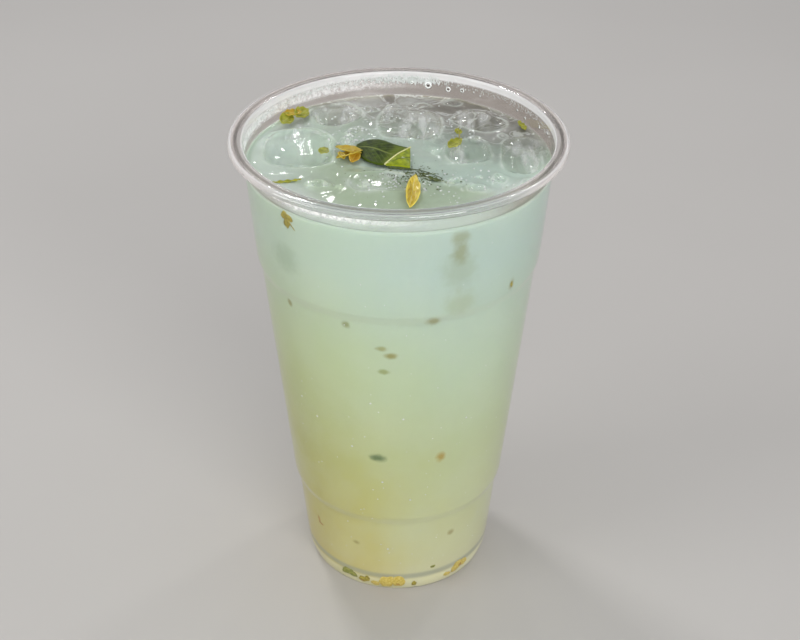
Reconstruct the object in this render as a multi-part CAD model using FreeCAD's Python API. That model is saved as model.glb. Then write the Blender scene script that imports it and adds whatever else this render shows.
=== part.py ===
import FreeCAD, Part
import math
import os

# A clear plastic cup of iced lemonade with a mint leaf on top, in millimetres.
# The origin is the centre of the foot ring, on the ground. +Z is up, +X is right,
# and -Y is the front.

# --- Cup -------------------------------------------------------------------------
CUP_HEIGHT = 150.0
LIP_RADIUS = 49.0             # outside of the rolled lip
LIP_WIDTH = 4.23              # from the drinking edge inside to the outside of the roll
LIP_THICKNESS = 2.2           # height of the roll
LIP_RETURN = 1.2              # how far the sheet turns back in under the roll
WALL = 0.5
UPPER_TAPER_DEG = 4.54        # band between the lip and the upper ledge
BODY_TAPER_DEG = 5.40         # long wall between the two ledges
BASE_TAPER_DEG = 5.30         # band between the lower ledge and the heel
UPPER_LEDGE_DROP = 36.0       # from the rim down to the upper ledge
LOWER_LEDGE_HEIGHT = 34.0
UPPER_LEDGE_STEP = 1.09
LOWER_LEDGE_STEP = 1.22
LEDGE_SLOPE_HEIGHT = 3.0      # a ledge is a short, steeper cone of this height
LEDGE_ROUNDING = 5.0
HEEL_HEIGHT = 3.6
HEEL_INSET = 1.2              # the foot stands this far inside the heel
HEEL_ROUNDING = 10.0
FOOT_WIDTH = 2.1              # flat ring that the cup stands on, corner to corner
FOOT_ROUNDING = 1.1
BASE_RISE = 6.0               # the underside of the base inside the foot ring
BASE_SLOPE_WIDTH = 1.2        # the step down from the base to the foot leans this much
BASE_ROUNDING = 1.5

# --- Lemonade --------------------------------------------------------------------
FILL_DROP = 8.3               # from the rim down to the drink
FILM_GAP = 0.05               # between the drink and what it touches

# --- Ice -------------------------------------------------------------------------
# The cubes float side by side between the walls. Each row gives the centre, east and
# north, and the width, depth and height of one cube, all in the free radius inside
# the cup; then its turn about Z and its lean forward and sideways, in degrees.
ICE_REACH = 22.0              # how far the deepest cube reaches below the surface
ICE_WALL_GAP = 0.4
ICE_ROUNDING = 0.34           # of the cube's shortest side
ICE = [
    (-0.695, 0.130, 0.500, 0.545, 0.46, 6, 3, -3),
    (-0.455, 0.700, 0.400, 0.360, 0.44, 30, -3, 2),
    (0.055, 0.505, 0.560, 0.430, 0.46, -4, 2, 2),
    (-0.095, -0.368, 0.700, 0.510, 0.45, 4, 1, -1),
    (0.450, 0.090, 0.420, 0.420, 0.44, 6, -2, -2),
    (0.836, 0.045, 0.270, 0.490, 0.42, -3, 2, 2),
    (0.570, 0.610, 0.420, 0.300, 0.42, -43, 2, 2),
]
ICE_PROUD = [3.0, 2.4, 3.0, 0.5, 2.4, 2.6, 2.2]   # how far each cube stands up

# --- Mint leaf -------------------------------------------------------------------
# The leaf lies on the drink in the gap that the cubes leave, so its plan is in the
# free radius too. Its right-hand end is folded back over the blade.
LEAF_CENTRE = (-0.086, 0.075)
LEAF_LENGTH = 0.60            # tip to tip before it was folded
LEAF_WIDTH = 0.27
LEAF_FOLD = 0.24              # share of the leaf's length that is folded over
LEAF_THICKNESS = 0.5
LEAF_OPENING_DEG = 14.0       # between the blade and the folded end
LEAF_TURN_DEG = -4.0

# --- Sizes that follow -----------------------------------------------------------
LEVEL = CUP_HEIGHT - FILL_DROP
UPPER_LEDGE = CUP_HEIGHT - UPPER_LEDGE_DROP
LIP_INSIDE = LIP_RADIUS - LIP_WIDTH


def fall(taper_deg, height):
    """How much radius a tapered wall loses over a height."""
    return math.tan(math.radians(taper_deg)) * height


def wall_corners():
    """Corners of the wall's outside, from the heel up to the lip, as (r, z)."""
    neck = LIP_INSIDE + WALL
    ledge_top = neck - fall(UPPER_TAPER_DEG, CUP_HEIGHT - UPPER_LEDGE)
    ledge_foot = ledge_top - UPPER_LEDGE_STEP
    body_top = UPPER_LEDGE - LEDGE_SLOPE_HEIGHT
    step_top = ledge_foot - fall(BODY_TAPER_DEG, body_top - LOWER_LEDGE_HEIGHT)
    step_foot = step_top - LOWER_LEDGE_STEP
    band_top = LOWER_LEDGE_HEIGHT - LEDGE_SLOPE_HEIGHT
    heel = step_foot - fall(BASE_TAPER_DEG, band_top - HEEL_HEIGHT)
    return [
        (heel, HEEL_HEIGHT),
        (step_foot, band_top),
        (step_top, LOWER_LEDGE_HEIGHT),
        (ledge_foot, body_top),
        (ledge_top, UPPER_LEDGE),
        (neck, CUP_HEIGHT),
    ]


def inner_radius(z):
    """Inside radius of the cup at a height between the heel and the lip."""
    corners = wall_corners()
    for (r0, z0), (r1, z1) in zip(corners, corners[1:]):
        if z <= z1:
            return r0 + (r1 - r0) * (z - z0) / (z1 - z0) - WALL
    return corners[-1][0] - WALL


def foot_and_wall():
    """The sheet's outer face from the axis out and up to the rim, without the lip.

    Each corner is (r, z, rounding radius)."""
    wall = wall_corners()
    foot_outer = wall[0][0] - HEEL_INSET
    foot_inner = foot_outer - FOOT_WIDTH
    corners = [
        (0.0, BASE_RISE, 0.0),
        (foot_inner - BASE_SLOPE_WIDTH, BASE_RISE, BASE_ROUNDING),
        (foot_inner, 0.0, FOOT_ROUNDING),
        (foot_outer, 0.0, FOOT_ROUNDING),
        (*wall[0], HEEL_ROUNDING),
    ]
    corners += [(r, z, LEDGE_ROUNDING) for r, z in wall[1:-1]]
    return corners + [(*wall[-1], 0.0)]


def rolled_lip():
    """The sheet's outer face from the top of the wall round the roll to its free edge."""
    outer = LIP_RADIUS - WALL
    top = CUP_HEIGHT - WALL
    under = CUP_HEIGHT - LIP_THICKNESS + WALL
    rounding = (top - under) / 2
    return [
        (LIP_INSIDE + WALL, top, rounding),
        (outer, top, rounding),
        (outer, under, rounding),
        (outer - rounding - LIP_RETURN, under, 0.0),
    ]


def rounded_wire(corners):
    """An open wire in the XZ plane through corners, each rounded by a tangent arc."""
    points = [FreeCAD.Vector(r, 0, z) for r, z, _ in corners]
    edges = []
    start = points[0]
    for before, here, after, corner in zip(points, points[1:], points[2:], corners[1:]):
        radius = corner[2]
        back = (before - here).normalize()
        ahead = (after - here).normalize()
        half_angle = back.getAngle(ahead) / 2
        tangent = radius / math.tan(half_angle)
        bisector = (back + ahead).normalize()
        arc_start = here + back * tangent
        arc_end = here + ahead * tangent
        arc_middle = here + bisector * (radius / math.sin(half_angle) - radius)
        if arc_start.distanceToPoint(start) > 1e-6:
            edges.append(Part.LineSegment(start, arc_start).toShape())
        edges.append(Part.Arc(arc_start, arc_middle, arc_end).toShape())
        start = arc_end
    if start.distanceToPoint(points[-1]) > 1e-6:
        edges.append(Part.LineSegment(start, points[-1]).toShape())
    return Part.Wire(edges)


def inward(wire, distance):
    """The same open wire moved towards the inside of the cup."""
    moved = [wire.makeOffset2D(side * distance, 2, False, True) for side in (-1, 1)]
    return max(moved, key=lambda candidate: candidate.BoundBox.ZMin)


def ends(wire):
    """The first and last point of an open wire."""
    corners = wire.OrderedVertexes
    return corners[0].Point, corners[-1].Point


def revolved(edges):
    """The solid of revolution about Z of the face inside a closed chain of edges."""
    face = Part.Face(Part.Wire(Part.__sortEdges__(edges)))
    return face.revolve(FreeCAD.Vector(), FreeCAD.Vector(0, 0, 1), 360)


def cup():
    """The formed sheet: one wall thickness from the base to the rolled lip."""
    outside = rounded_wire(foot_and_wall()[:-1] + rolled_lip())
    inside = inward(outside, WALL)
    joins = [Part.LineSegment(a, b).toShape() for a, b in zip(ends(outside), ends(inside))]
    return revolved(outside.Edges + inside.Edges + joins)


def ice_cube(row, proud, growth=0.0):
    """One rounded cube that stands proud of the drink, or its pocket, grown all round."""
    free_radius = inner_radius(LEVEL - ICE_REACH) - ICE_WALL_GAP
    east, north, width, depth, height = [share * free_radius for share in row[:5]]
    yaw, lean_front, lean_side = row[5:]
    sides = [width + 2 * growth, depth + 2 * growth, height + 2 * growth]
    rounding = ICE_ROUNDING * min(width, depth, height) + growth
    rotation = FreeCAD.Rotation(yaw, lean_side, lean_front)
    up = rotation.inverted().multVec(FreeCAD.Vector(0, 0, 1))
    rise = rounding + sum(abs(part) * (side / 2 - rounding) for part, side in zip(up, sides))
    corner = FreeCAD.Vector(-sides[0] / 2, -sides[1] / 2, -sides[2] / 2)
    block = Part.makeBox(*sides, corner)
    block = block.makeFillet(rounding, block.Edges)
    centre = FreeCAD.Vector(east, north, LEVEL + proud + growth - rise)
    block.Placement = FreeCAD.Placement(centre, rotation)
    return block


def leaf_halves(length, half_width):
    """The flat leaf cut at its crease: the blade, and the end that folds over."""
    left = FreeCAD.Vector(-length / 2, 0, 0)
    right = FreeCAD.Vector(length / 2, 0, 0)
    outline = [
        Part.Arc(left, FreeCAD.Vector(0, side * half_width, 0), right).toShape()
        for side in (-1, 1)
    ]
    plate = Part.Face(Part.Wire(outline)).extrude(FreeCAD.Vector(0, 0, LEAF_THICKNESS))
    beyond = Part.makeBox(length, length, length, FreeCAD.Vector(0, -length / 2, -length / 2))
    beyond.translate(FreeCAD.Vector(length * (0.5 - LEAF_FOLD), 0, 0))
    return plate.cut(beyond), plate.common(beyond)


def mint_leaf():
    """A pointed oval blade whose right-hand end is folded back over it."""
    free_radius = inner_radius(LEVEL - ICE_REACH) - ICE_WALL_GAP
    blade, flap = leaf_halves(LEAF_LENGTH * free_radius, LEAF_WIDTH * free_radius / 2)
    crease = blade.BoundBox.XMax
    half_crease = flap.BoundBox.YMax
    across = FreeCAD.Vector(0, 1, 0)
    hinge = FreeCAD.Vector(crease, -half_crease, LEAF_THICKNESS)
    flap.rotate(hinge, across, LEAF_OPENING_DEG - 180)
    roll = Part.makeCylinder(LEAF_THICKNESS, 2 * half_crease, hinge, across)
    leaf = blade.fuse([flap, roll]).removeSplitter()
    east, north = [share * free_radius for share in LEAF_CENTRE]
    centre = FreeCAD.Vector(east, north, LEVEL + FILM_GAP)
    leaf.Placement = FreeCAD.Placement(centre, FreeCAD.Rotation(LEAF_TURN_DEG, 0, 0))
    return leaf


def lemonade():
    """The drink up to its level, cut round the ice."""
    inside = inward(rounded_wire(foot_and_wall()), WALL + FILM_GAP)
    base, brim = ends(inside)
    axis_top = FreeCAD.Vector(0, 0, brim.z)
    joins = [Part.LineSegment(brim, axis_top).toShape(), Part.LineSegment(axis_top, base).toShape()]
    filling = revolved(inside.Edges + joins)
    above = Part.makeCylinder(LIP_RADIUS, CUP_HEIGHT, FreeCAD.Vector(0, 0, LEVEL))
    pockets = [ice_cube(row, proud, FILM_GAP) for row, proud in zip(ICE, ICE_PROUD)]
    return filling.cut([above] + pockets)


def solids():
    """Every node's solid by its name."""
    nodes = {"cup": cup(), "lemonade": lemonade(), "mint_leaf": mint_leaf()}
    for number, (row, proud) in enumerate(zip(ICE, ICE_PROUD), start=1):
        nodes[f"ice_{number}"] = ice_cube(row, proud)
    return nodes


os.makedirs("parts", exist_ok=True)
for name, shape in solids().items():
    shape.exportStep(f"parts/{name}.step")
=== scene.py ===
import bmesh
import bpy
import math
import random
from mathutils import Matrix, Vector, noise
from mathutils.bvhtree import BVHTree


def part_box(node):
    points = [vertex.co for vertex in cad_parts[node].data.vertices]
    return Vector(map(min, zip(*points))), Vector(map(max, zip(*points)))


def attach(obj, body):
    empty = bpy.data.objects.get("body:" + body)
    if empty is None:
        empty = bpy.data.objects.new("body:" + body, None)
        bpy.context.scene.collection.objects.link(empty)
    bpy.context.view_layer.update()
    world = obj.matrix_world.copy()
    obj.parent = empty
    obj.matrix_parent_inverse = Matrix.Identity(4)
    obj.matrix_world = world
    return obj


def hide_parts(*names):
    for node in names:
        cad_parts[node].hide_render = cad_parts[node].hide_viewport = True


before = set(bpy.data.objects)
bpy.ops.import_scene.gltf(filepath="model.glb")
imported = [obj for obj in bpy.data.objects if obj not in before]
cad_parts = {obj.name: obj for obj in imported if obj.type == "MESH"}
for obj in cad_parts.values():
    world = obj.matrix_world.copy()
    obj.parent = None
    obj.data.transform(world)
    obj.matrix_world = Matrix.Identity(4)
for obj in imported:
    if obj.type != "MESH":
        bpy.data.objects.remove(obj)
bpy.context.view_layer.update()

# Iced lemonade in a clear plastic cup. Lengths are in metres, and MM turns millimetres
# into them. +Z is up, +X is right and -Y is the front. Places round the wall are given
# as an angle from the front, positive to the right, and a height above the ground.
MM = 0.001
CUP_LOW, CUP_HIGH = (Vector(corner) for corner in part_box("cup"))
GROUND = CUP_LOW.z
RIM = CUP_HIGH.z
LEVEL = Vector(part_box("lemonade")[1]).z
LIP_RADIUS = CUP_HIGH.x

# --- Cup section -----------------------------------------------------------------
WALL = 0.5 * MM
LIP_WIDTH = 4.23 * MM
LIP_THICKNESS = 2.2 * MM
LIP_RETURN = 1.2 * MM
UPPER_TAPER_DEG = 4.54
BODY_TAPER_DEG = 5.40
BASE_TAPER_DEG = 5.30
UPPER_LEDGE = RIM - 36.0 * MM
LOWER_LEDGE = GROUND + 34.0 * MM
UPPER_LEDGE_STEP = 1.09 * MM
LOWER_LEDGE_STEP = 1.22 * MM
LEDGE_SLOPE = 3.0 * MM
LEDGE_ROUNDING = 5.0 * MM
HEEL_HEIGHT = GROUND + 3.6 * MM
HEEL_INSET = 1.2 * MM
HEEL_ROUNDING = 10.0 * MM
FOOT_WIDTH = 2.1 * MM
FOOT_ROUNDING = 1.1 * MM
BASE_RISE = GROUND + 6.0 * MM
BASE_SLOPE_WIDTH = 1.2 * MM
BASE_ROUNDING = 1.5 * MM
CUP_SEGMENTS = 288
ARC_STEP_DEG = 9.0
LONGEST_RUN = 3.0 * MM

# --- Drink -----------------------------------------------------------------------
REACH = 0.12 * MM             # how far the drink and the bits reach into the wall
DRINK_SEGMENTS = 432
TOP_RINGS = 120
WALL_CLIMB = 0.7 * MM         # the surface creeps up the wall and the ice
WALL_CLIMB_LENGTH = 1.0 * MM
ICE_CLIMB = 0.7 * MM
ICE_CLIMB_LENGTH = 0.9 * MM
ICE_BOWL = 8.0 * MM           # how deep the cloudy drink lies under the clear ice
ICE_BOWL_WIDTH = 6.0 * MM
ICE_VOXEL = 0.6 * MM
ICE_SMOOTHING = 55
LINE_WIDTH = 0.38 * MM        # the painted pale highlight along the waterline round each piece of ice
DRINK_MARKS = ("surface", "bowl", "waterline")   # attributes of the drink's top

random.seed(7)


# --- Small tools -----------------------------------------------------------------
def srgb(red, green, blue):
    """A colour given as it looks on a screen, 0 to 255, as linear numbers."""
    def linear(value):
        value /= 255
        return value / 12.92 if value <= 0.04045 else ((value + 0.055) / 1.055) ** 2.4
    return (linear(red), linear(green), linear(blue), 1.0)


def smoothstep(low, high, value):
    share = min(max((value - low) / (high - low), 0.0), 1.0)
    return share * share * (3 - 2 * share)


def mesh_object(name, vertices, faces, smooth=True):
    mesh = bpy.data.meshes.new(name)
    mesh.from_pydata([tuple(v) for v in vertices], [], faces)
    mesh.update()
    if smooth:
        mesh.shade_smooth()
    else:
        mesh.shade_flat()
    piece = bpy.data.objects.new(name, mesh)
    bpy.context.scene.collection.objects.link(piece)
    return piece


def finished(piece, material, slot, *replaced):
    """Gives a piece its material and the root body, and hides the CAD nodes it stands for. slot is not
    used.
    """
    piece.data.materials.clear()
    piece.data.materials.append(material)
    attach(piece, "root")
    if replaced:
        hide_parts(*replaced)
    return piece


def on_wall(angle_deg, height, inset=0.0):
    """A point on the wall's inner face, moved inwards by inset."""
    radius = inner_radius(height) - inset
    angle = math.radians(angle_deg)
    return Vector((radius * math.sin(angle), -radius * math.cos(angle), height))


# --- Cup section -----------------------------------------------------------------
def fall(taper_deg, height):
    """How much radius a tapered wall loses over a height."""
    return math.tan(math.radians(taper_deg)) * height


def wall_corners():
    """Corners of the wall's outside, from the heel up to the rim, as (r, z)."""
    neck = LIP_RADIUS - LIP_WIDTH + WALL
    ledge_top = neck - fall(UPPER_TAPER_DEG, RIM - UPPER_LEDGE)
    ledge_foot = ledge_top - UPPER_LEDGE_STEP
    body_top = UPPER_LEDGE - LEDGE_SLOPE
    step_top = ledge_foot - fall(BODY_TAPER_DEG, body_top - LOWER_LEDGE)
    step_foot = step_top - LOWER_LEDGE_STEP
    band_top = LOWER_LEDGE - LEDGE_SLOPE
    heel = step_foot - fall(BASE_TAPER_DEG, band_top - HEEL_HEIGHT)
    return [
        (heel, HEEL_HEIGHT),
        (step_foot, band_top),
        (step_top, LOWER_LEDGE),
        (ledge_foot, body_top),
        (ledge_top, UPPER_LEDGE),
        (neck, RIM),
    ]


def inner_radius(z):
    """Inside radius of the cup at a height between the heel and the rim."""
    corners = wall_corners()
    for (r0, z0), (r1, z1) in zip(corners, corners[1:]):
        if z <= z1:
            return r0 + (r1 - r0) * (z - z0) / (z1 - z0) - WALL
    return corners[-1][0] - WALL


def foot_and_wall():
    """The sheet's outer face from the axis to the rim, as (r, z, rounding radius)."""
    wall = wall_corners()
    foot_outer = wall[0][0] - HEEL_INSET
    foot_inner = foot_outer - FOOT_WIDTH
    corners = [
        (0.0, BASE_RISE, 0.0),
        (foot_inner - BASE_SLOPE_WIDTH, BASE_RISE, BASE_ROUNDING),
        (foot_inner, GROUND, FOOT_ROUNDING),
        (foot_outer, GROUND, FOOT_ROUNDING),
        (*wall[0], HEEL_ROUNDING),
    ]
    corners += [(r, z, LEDGE_ROUNDING) for r, z in wall[1:-1]]
    return corners + [(*wall[-1], 0.0)]


def rolled_lip():
    """The sheet's outer face from the top of the wall round the roll to its edge."""
    outer = LIP_RADIUS - WALL
    top = RIM - WALL
    under = RIM - LIP_THICKNESS + WALL
    rounding = (top - under) / 2
    return [
        (LIP_RADIUS - LIP_WIDTH + WALL, top, rounding),
        (outer, top, rounding),
        (outer, under, rounding),
        (outer - rounding - LIP_RETURN, under, 0.0),
    ]


def traced(corners):
    """Points along a rounded outline, each with the normal to its left."""
    points = [Vector((r, z)) for r, z, _ in corners]
    path = []

    def add(point, normal):
        if not path or (path[-1][0] - point).length > 1e-7:
            path.append((point, normal))

    def run(start, end):
        direction = (end - start).normalized()
        normal = Vector((-direction.y, direction.x))
        steps = max(1, math.ceil((end - start).length / LONGEST_RUN))
        for step in range(steps + 1):
            add(start.lerp(end, step / steps), normal)

    start = points[0]
    for before, here, after, corner in zip(points, points[1:], points[2:], corners[1:]):
        back = (before - here).normalized()
        ahead = (after - here).normalized()
        half = back.angle(ahead) / 2
        tangent = corner[2] / math.tan(half)
        centre = here + (back + ahead).normalized() * (corner[2] / math.sin(half))
        arc_start = here + back * tangent
        arc_end = here + ahead * tangent
        run(start, arc_start)
        turn = math.pi - 2 * half
        left = (arc_start - here).cross(ahead) < 0
        steps = max(2, math.ceil(math.degrees(turn) / ARC_STEP_DEG))
        spoke = arc_start - centre
        for step in range(steps + 1):
            angle = turn * step / steps * (1 if left else -1)
            arm = Matrix.Rotation(angle, 2) @ spoke
            add(centre + arm, -arm.normalized() if left else arm.normalized())
        start = arc_end
    run(start, points[-1])
    return path


def revolved(name, section, segments, closed):
    """A surface of revolution of (r, z) points. Points on the axis become one vertex."""
    vertices = []
    rings = []
    for r, z in section:
        if r < 1e-7:
            rings.append([len(vertices)] * segments)
            vertices.append((0.0, 0.0, z))
            continue
        first = len(vertices)
        for k in range(segments):
            angle = 2 * math.pi * k / segments
            vertices.append((r * math.cos(angle), r * math.sin(angle), z))
        rings.append(list(range(first, first + segments)))
    pairs = list(zip(rings, rings[1:]))
    if closed:
        pairs.append((rings[-1], rings[0]))
    faces = []
    for low, high in pairs:
        for k in range(segments):
            after = (k + 1) % segments
            corners = [low[k], low[after], high[after], high[k]]
            corners = list(dict.fromkeys(corners))
            if len(corners) > 2:
                faces.append(corners)
    return mesh_object(name, vertices, faces), rings


def make_cup(material):
    sheet = traced(foot_and_wall()[:-1] + rolled_lip())
    outside = [tuple(point) for point, _ in sheet]
    inside = [tuple(point + normal * WALL) for point, normal in reversed(sheet)]
    inside = [(max(r, 0.0), z) for r, z in inside]
    cup, _ = revolved("cup_sheet", outside + inside, CUP_SEGMENTS, False)
    return finished(cup, material, "clear_plastic", "cup")


# --- Camera, light and floor -----------------------------------------------------
CAMERA_PLACE = Vector((0.55 * MM, -365.2 * MM, GROUND + 323.9 * MM))
CAMERA_DOWN_DEG = 33.07
CAMERA_ROLL_DEG = 0.216
CAMERA_LENS = 63.0


def make_camera():
    camera = bpy.data.objects.new("camera", bpy.data.cameras.new("camera"))
    camera.data.lens = CAMERA_LENS
    camera.data.sensor_width = 36.0
    camera.data.clip_start = 0.01
    tip = Matrix.Rotation(math.radians(90 - CAMERA_DOWN_DEG), 4, "X")
    roll = Matrix.Rotation(math.radians(CAMERA_ROLL_DEG), 4, "Z")
    camera.matrix_world = Matrix.Translation(CAMERA_PLACE) @ tip @ roll
    bpy.context.scene.collection.objects.link(camera)
    bpy.context.scene.camera = camera


def softbox(name, place, aim, size, power):
    light = bpy.data.objects.new(name, bpy.data.lights.new(name, "AREA"))
    light.data.shape = "RECTANGLE"
    light.data.size, light.data.size_y = size
    light.data.energy = power
    direction = Vector(aim) - Vector(place)
    turn = direction.to_track_quat("-Z", "Y").to_matrix().to_4x4()
    light.matrix_world = Matrix.Translation(Vector(place)) @ turn
    bpy.context.scene.collection.objects.link(light)


def make_studio():
    softbox("key", (-0.35, 0.55, 0.95), (0, 0, 0.12), (0.16, 0.11), 2.4)
    softbox("glint", (0.50, 0.62, 0.90), (0, 0, 0.12), (0.10, 0.07), 0.9)
    softbox("window_left", (-0.16, 1.00, 0.82), (0, 0, 0.14), (0.06, 0.05), 0.35)
    softbox("window_right", (0.30, 0.95, 0.98), (0, 0, 0.14), (0.07, 0.04), 0.35)
    softbox("front", (0.45, -0.95, 0.47), (0, 0, 0.08), (0.7, 0.5), 6.4)
    softbox("side", (-0.9, -0.35, 0.37), (0, 0, 0.08), (0.5, 0.6), 3.0)
    world = bpy.data.worlds.new("studio")
    world.use_nodes = True
    background = world.node_tree.nodes["Background"]
    set_inputs(background, {"Color": (0.95, 0.97, 1.0, 1), "Strength": 0.42})
    bpy.context.scene.world = world
    bpy.context.scene.view_settings.view_transform = "Standard"


def make_floor():
    half = 3.0
    corners = [(-half, -half, GROUND), (half, -half, GROUND), (half, half, GROUND), (-half, half, GROUND)]
    floor = mesh_object("floor", corners, [(0, 1, 2, 3)], smooth=False)
    floor.data.materials.append(floor_material())


# --- Materials -------------------------------------------------------------------
def new_material(name):
    material = bpy.data.materials.new(name)
    material.use_nodes = True
    tree = material.node_tree
    return material, tree, tree.nodes["Principled BSDF"]


def add(tree, kind, **values):
    """A node with its properties, or with its inputs where the name is an input's."""
    node = tree.nodes.new(kind)
    for key, value in values.items():
        if key in node.inputs:
            node.inputs[key].default_value = value
        else:
            setattr(node, key, value)
    return node


def tree_of(*values):
    """The node tree of the first of these values that is a socket."""
    return next(value.id_data for value in values if isinstance(value, bpy.types.NodeSocket))


def link(value, socket):
    socket.id_data.links.new(value, socket)


def feed(value, socket):
    """Links a socket's value in, or sets a plain one. None leaves the input as it is."""
    if isinstance(value, bpy.types.NodeSocket):
        link(value, socket)
    elif value is not None:
        socket.default_value = value


def set_inputs(node, values):
    for key, value in values.items():
        feed(value, node.inputs[key])


def noise_of(vector, scale, detail=3.0, roughness=0.5, distortion=0.0):
    texture = add(vector.id_data, "ShaderNodeTexNoise")
    set_inputs(texture, {"Vector": vector, "Scale": scale, "Detail": detail, "Roughness": roughness,
                         "Distortion": distortion})
    return texture.outputs["Fac"]


def ramp_of(factor, stops):
    ramp = add(factor.id_data, "ShaderNodeValToRGB")
    elements = ramp.color_ramp.elements
    while len(elements) < len(stops):
        elements.new(0.5)
    for element, (place, colour) in zip(elements, stops):
        element.position = place
        element.color = colour
    link(factor, ramp.inputs["Fac"])
    return ramp.outputs["Color"]


def mapped(value, low, high, to_low=0.0, to_high=1.0, curve="SMOOTHSTEP"):
    node = add(value.id_data, "ShaderNodeMapRange", clamp=True, interpolation_type=curve)
    set_inputs(node, {"Value": value, "From Min": low, "From Max": high})
    set_inputs(node, {"To Min": to_low, "To Max": to_high})
    return node.outputs["Result"]


def mixed(factor, first, second):
    node = add(tree_of(factor, first, second), "ShaderNodeMix", data_type="RGBA")
    for value, index in ((factor, 0), (first, 6), (second, 7)):
        feed(value, node.inputs[index])
    return node.outputs[2]


def math_of(operation, first, second=None):
    node = add(tree_of(first, second), "ShaderNodeMath", operation=operation)
    feed(first, node.inputs[0])
    feed(second, node.inputs[1])
    return node.outputs[0]


def product(first, second):
    return math_of("MULTIPLY", first, second)


def total(first, second):
    return math_of("ADD", first, second)


def difference(first, second):
    return math_of("SUBTRACT", first, second)


def gap(first, second):
    return math_of("ABSOLUTE", difference(first, second))


def bumped(shader, height, strength, distance):
    bump = add(shader.id_data, "ShaderNodeBump", Strength=strength, Distance=distance)
    link(height, bump.inputs["Height"])
    link(bump.outputs["Normal"], shader.inputs["Normal"])


def let_light_through(shader):
    """Light reaches what is behind a clear piece straight through it."""
    tree = shader.id_data
    path = add(tree, "ShaderNodeLightPath")
    clear = add(tree, "ShaderNodeBsdfTransparent")
    mix = add(tree, "ShaderNodeMixShader")
    link(path.outputs["Is Shadow Ray"], mix.inputs["Fac"])
    link(shader.outputs["BSDF"], mix.inputs[1])
    link(clear.outputs["BSDF"], mix.inputs[2])
    link(mix.outputs["Shader"], tree.nodes["Material Output"].inputs["Surface"])


def object_place(tree):
    return add(tree, "ShaderNodeTexCoord").outputs["Object"]


def floor_material():
    material, tree, shader = new_material("pale_floor")
    grain = noise_of(object_place(tree), 3.0)
    colour = ramp_of(grain, [(0.3, srgb(196, 192, 188)), (0.7, srgb(202, 198, 194))])
    set_inputs(shader, {"Base Color": colour, "Roughness": 0.6})
    return material


def clear_material(name, colour, ior, roughness, ripple_scale, ripple):
    """Clear and glossy, with fine ripples in the surface."""
    material, tree, shader = new_material(name)
    set_inputs(shader, {
        "Base Color": colour, "Transmission Weight": 1.0, "IOR": ior, "Roughness": roughness,
    })
    bumped(shader, noise_of(object_place(tree), ripple_scale), 1.0, ripple)
    let_light_through(shader)
    return material


def plastic_material():
    """Clear sheet. Above the drink it is painted greyer, most of all at the right, as a painted reflection
    of dark surroundings; the lip has a painted reflection tint, a painted dark line and painted highlight
    lines, and a band of condensation at the left is painted whiter, partly its own milkiness and partly
    painted light.
    """
    material = clear_material("clear_plastic", (1, 1, 1, 1), 1.5, 0.02, 160.0, 0.12 * MM)
    tree = material.node_tree
    shader = tree.nodes["Principled BSDF"]
    place = object_place(tree)
    x, y, height = split_of(place)
    # Painted reflection: above the drink the sheet is tinted grey, mottled, darker at the right and pale
    # aqua in front.
    reflection_mottle = noise_of(place, 75.0, 4.0)
    left = ramp_of(reflection_mottle, [(0.3, (0.78, 0.72, 0.69, 1)), (0.7, (0.89, 0.85, 0.83, 1))])
    right = ramp_of(reflection_mottle, [(0.3, (0.58, 0.52, 0.48, 1)), (0.7, (0.70, 0.65, 0.61, 1))])
    painted_reflection = mixed(mapped(x, -0.030, 0.034), left, right)
    in_front = mapped(y, -0.044, -0.026, 0.95, 0.0)
    painted_reflection = mixed(in_front, painted_reflection, (0.90, 0.96, 0.92, 1))
    above = mapped(height, LEVEL - 0.5 * MM, LEVEL + 1.5 * MM)
    colour = mixed(above, (0.95, 0.93, 0.94, 1), painted_reflection)
    # The lip is painted a lilac-grey tint, greener in front: a painted reflection.
    lip = mapped(height, RIM - LIP_THICKNESS - 0.5 * MM, RIM - LIP_THICKNESS + 0.3 * MM)
    painted_lip_reflection = mixed(in_front, (0.86, 0.825, 0.805, 1), (0.72, 0.765, 0.74, 1))
    colour = mixed(lip, colour, painted_lip_reflection)
    radius = distance_from_axis(x, y)
    # A painted dark line round the lip, where the roll's refraction shows dark.
    painted_dark_line = product(lip, line_at(radius, LIP_RADIUS - 2.3 * MM, 0.7 * MM))
    colour = mixed(painted_dark_line, colour, (0.50, 0.47, 0.44, 1))
    # Painted highlight lines at the lip's inner edge and near its outside, fainter in front.
    edge_highlight = product(lip, line_at(radius, LIP_RADIUS - LIP_WIDTH, 0.6 * MM))
    outer_highlight = product(lip, line_at(radius, LIP_RADIUS - 0.7 * MM, 0.5 * MM))
    painted_highlights = math_of("MAXIMUM", edge_highlight, product(outer_highlight, 0.6))
    painted_highlights = product(painted_highlights, mapped(y, -0.044, -0.024, 0.45, 1.0))
    # A band of condensation at the left of the wall, painted whiter: partly its own milkiness, partly
    # painted light.
    band = product(line_at(height, LEVEL + 4.4 * MM, 2.3 * MM),
                   mapped(x, -0.022, 0.016, 1.0, 0.0))
    streaks = mapped(noise_of(place, 900.0, 2.0), 0.35, 0.6, 0.35, 1.0)
    fog = product(band, streaks)
    # pale is the condensation band and the painted highlight lines; there and on the lip the sheet lets
    # less light through.
    pale = math_of("MAXIMUM", fog, painted_highlights)
    colour = mixed(pale, colour, (0.96, 0.95, 0.95, 1))
    fog_and_painted_light_cover = total(product(lip, 0.06), product(pale, 0.66))
    set_inputs(shader, {"Base Color": colour, "Transmission Weight": difference(1.0, fog_and_painted_light_cover)})
    return material


def distance_from_axis(x, y):
    squares = total(product(x, x), product(y, y))
    return math_of("SQRT", squares)


def line_at(value, middle, half_width):
    """1 where value is near middle, falling to 0 at half_width from it."""
    off = gap(value, middle)
    return mapped(off, 0.35 * half_width, half_width, 1.0, 0.0)


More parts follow.
